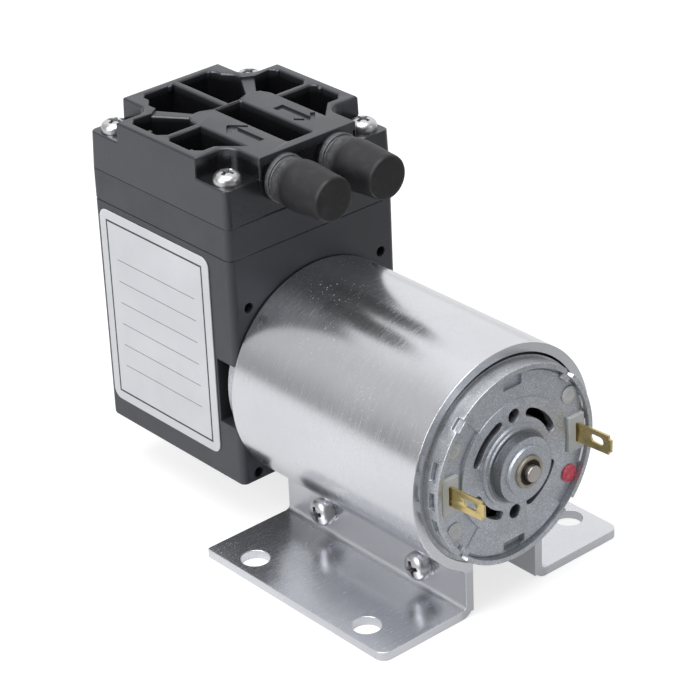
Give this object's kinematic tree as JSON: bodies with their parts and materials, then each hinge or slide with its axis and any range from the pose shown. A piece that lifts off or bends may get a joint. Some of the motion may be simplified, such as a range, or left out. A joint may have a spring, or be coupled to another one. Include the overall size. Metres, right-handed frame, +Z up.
{
  "type": "mini diaphragm vacuum pump",
  "caption": "Mini diaphragm vacuum pump: ribbed pump head with two capped hose barbs on a DC motor in a sheet clamp bracket with drilled feet.",
  "frame": {"origin": "centre of the four foot holes at the underside of the feet", "axes": "+Z up; the motor axis runs along Y with the pump head at +Y and the terminals at -Y; the rating plate faces -X"},
  "size_m": [0.06, 0.1015, 0.076],
  "materials": {
    "bracket_aluminium": "brushed sheet",
    "plated_steel": "bright plated",
    "washer_steel": "plated",
    "can_steel": "zinc plated",
    "ring_steel": "dark",
    "cap_steel": "zinc plated",
    "white_nylon": "moulded",
    "tab_brass": "stamped",
    "spring_bronze": "strip",
    "carbon": "sintered",
    "bushing_bronze": "sintered, oiled",
    "ferrite": "sintered",
    "spring_steel": "strip",
    "shaft_steel": "ground",
    "lamination_steel": "stacked",
    "enamelled_copper": "enamelled wire",
    "phenolic": "moulded",
    "commutator_copper": "turned",
    "washer_nylon": "punched",
    "body_plastic": "fine moulded texture",
    "crank_zinc": "die cast",
    "black_steel": "blackened",
    "bearing_steel": "ground",
    "ball_steel": "polished",
    "rod_alloy": "die cast",
    "diaphragm_rubber": "moulded",
    "retainer_alloy": "turned",
    "plate_plastic": "fine moulded texture",
    "valve_rubber": "moulded",
    "gasket_rubber": "moulded",
    "cover_plastic": "fine moulded texture",
    "cover_screw_steel": "bright plated",
    "cap_rubber": "moulded",
    "label_film": "printed film"
  },
  "bodies": {
    "frame": {"clamp_bracket": "bracket_aluminium", "cross_screws": "plated_steel", "spring_washers": "washer_steel", "flat_washers": "washer_steel", "cross_nuts": "plated_steel", "motor_can": "can_steel", "flux_ring": "ring_steel", "end_cap": "cap_steel", "brush_carrier": "white_nylon", "solder_tabs": "tab_brass", "brush_arms": "spring_bronze", "brushes": "carbon", "rear_bushing": "bushing_bronze", "front_bushing": "bushing_bronze", "magnets": "ferrite", "magnet_clips": "spring_steel", "motor_screws": "plated_steel", "pump_body": "body_plastic", "diaphragm": "diaphragm_rubber", "valve_plate": "plate_plastic", "inlet_valve": "valve_rubber", "outlet_valve": "valve_rubber", "cover_gasket": "gasket_rubber", "head_cover": "cover_plastic", "cover_screws": "cover_screw_steel", "rating_plate": "label_film"},
    "rotor": {"motor_shaft": "shaft_steel", "armature_core": "lamination_steel", "armature_windings": "enamelled_copper", "commutator_sleeve": "phenolic", "commutator_bars": "commutator_copper", "thrust_washers": "washer_nylon", "eccentric": "crank_zinc", "set_screw": "black_steel", "bearing_inner": "bearing_steel"},
    "rod": {"bearing_outer": "bearing_steel", "bearing_balls": "ball_steel", "connecting_rod": "rod_alloy", "diaphragm_retainer": "retainer_alloy", "retainer_screw": "plated_steel"},
    "inlet_dust_cap": {"inlet_cap": "cap_rubber"},
    "outlet_dust_cap": {"outlet_cap": "cap_rubber"}
  },
  "joints": [
    {"name": "rotor_spin", "type": "hinge", "parent": "frame", "child": "rotor", "pos_m": [0, 0, 0.0296], "axis": [0, 1, 0], "continuous": true},
    {"name": "rod_pivot", "type": "hinge", "parent": "rotor", "child": "rod", "pos_m": [0, 0.0455, 0.0311], "axis": [0, 1, 0], "continuous": true, "deforming": ["diaphragm"]},
    {"name": "inlet_cap_pull", "type": "slide", "parent": "frame", "child": "inlet_dust_cap", "axis": [0, -1, 0], "range_m": [0, 0.012]},
    {"name": "outlet_cap_pull", "type": "slide", "parent": "frame", "child": "outlet_dust_cap", "axis": [0, -1, 0], "range_m": [0, 0.012]}
  ],
  "couplings": [
    {"joint": "rod_pivot", "follows": "rotor_spin", "ratio": -1}
  ]
}
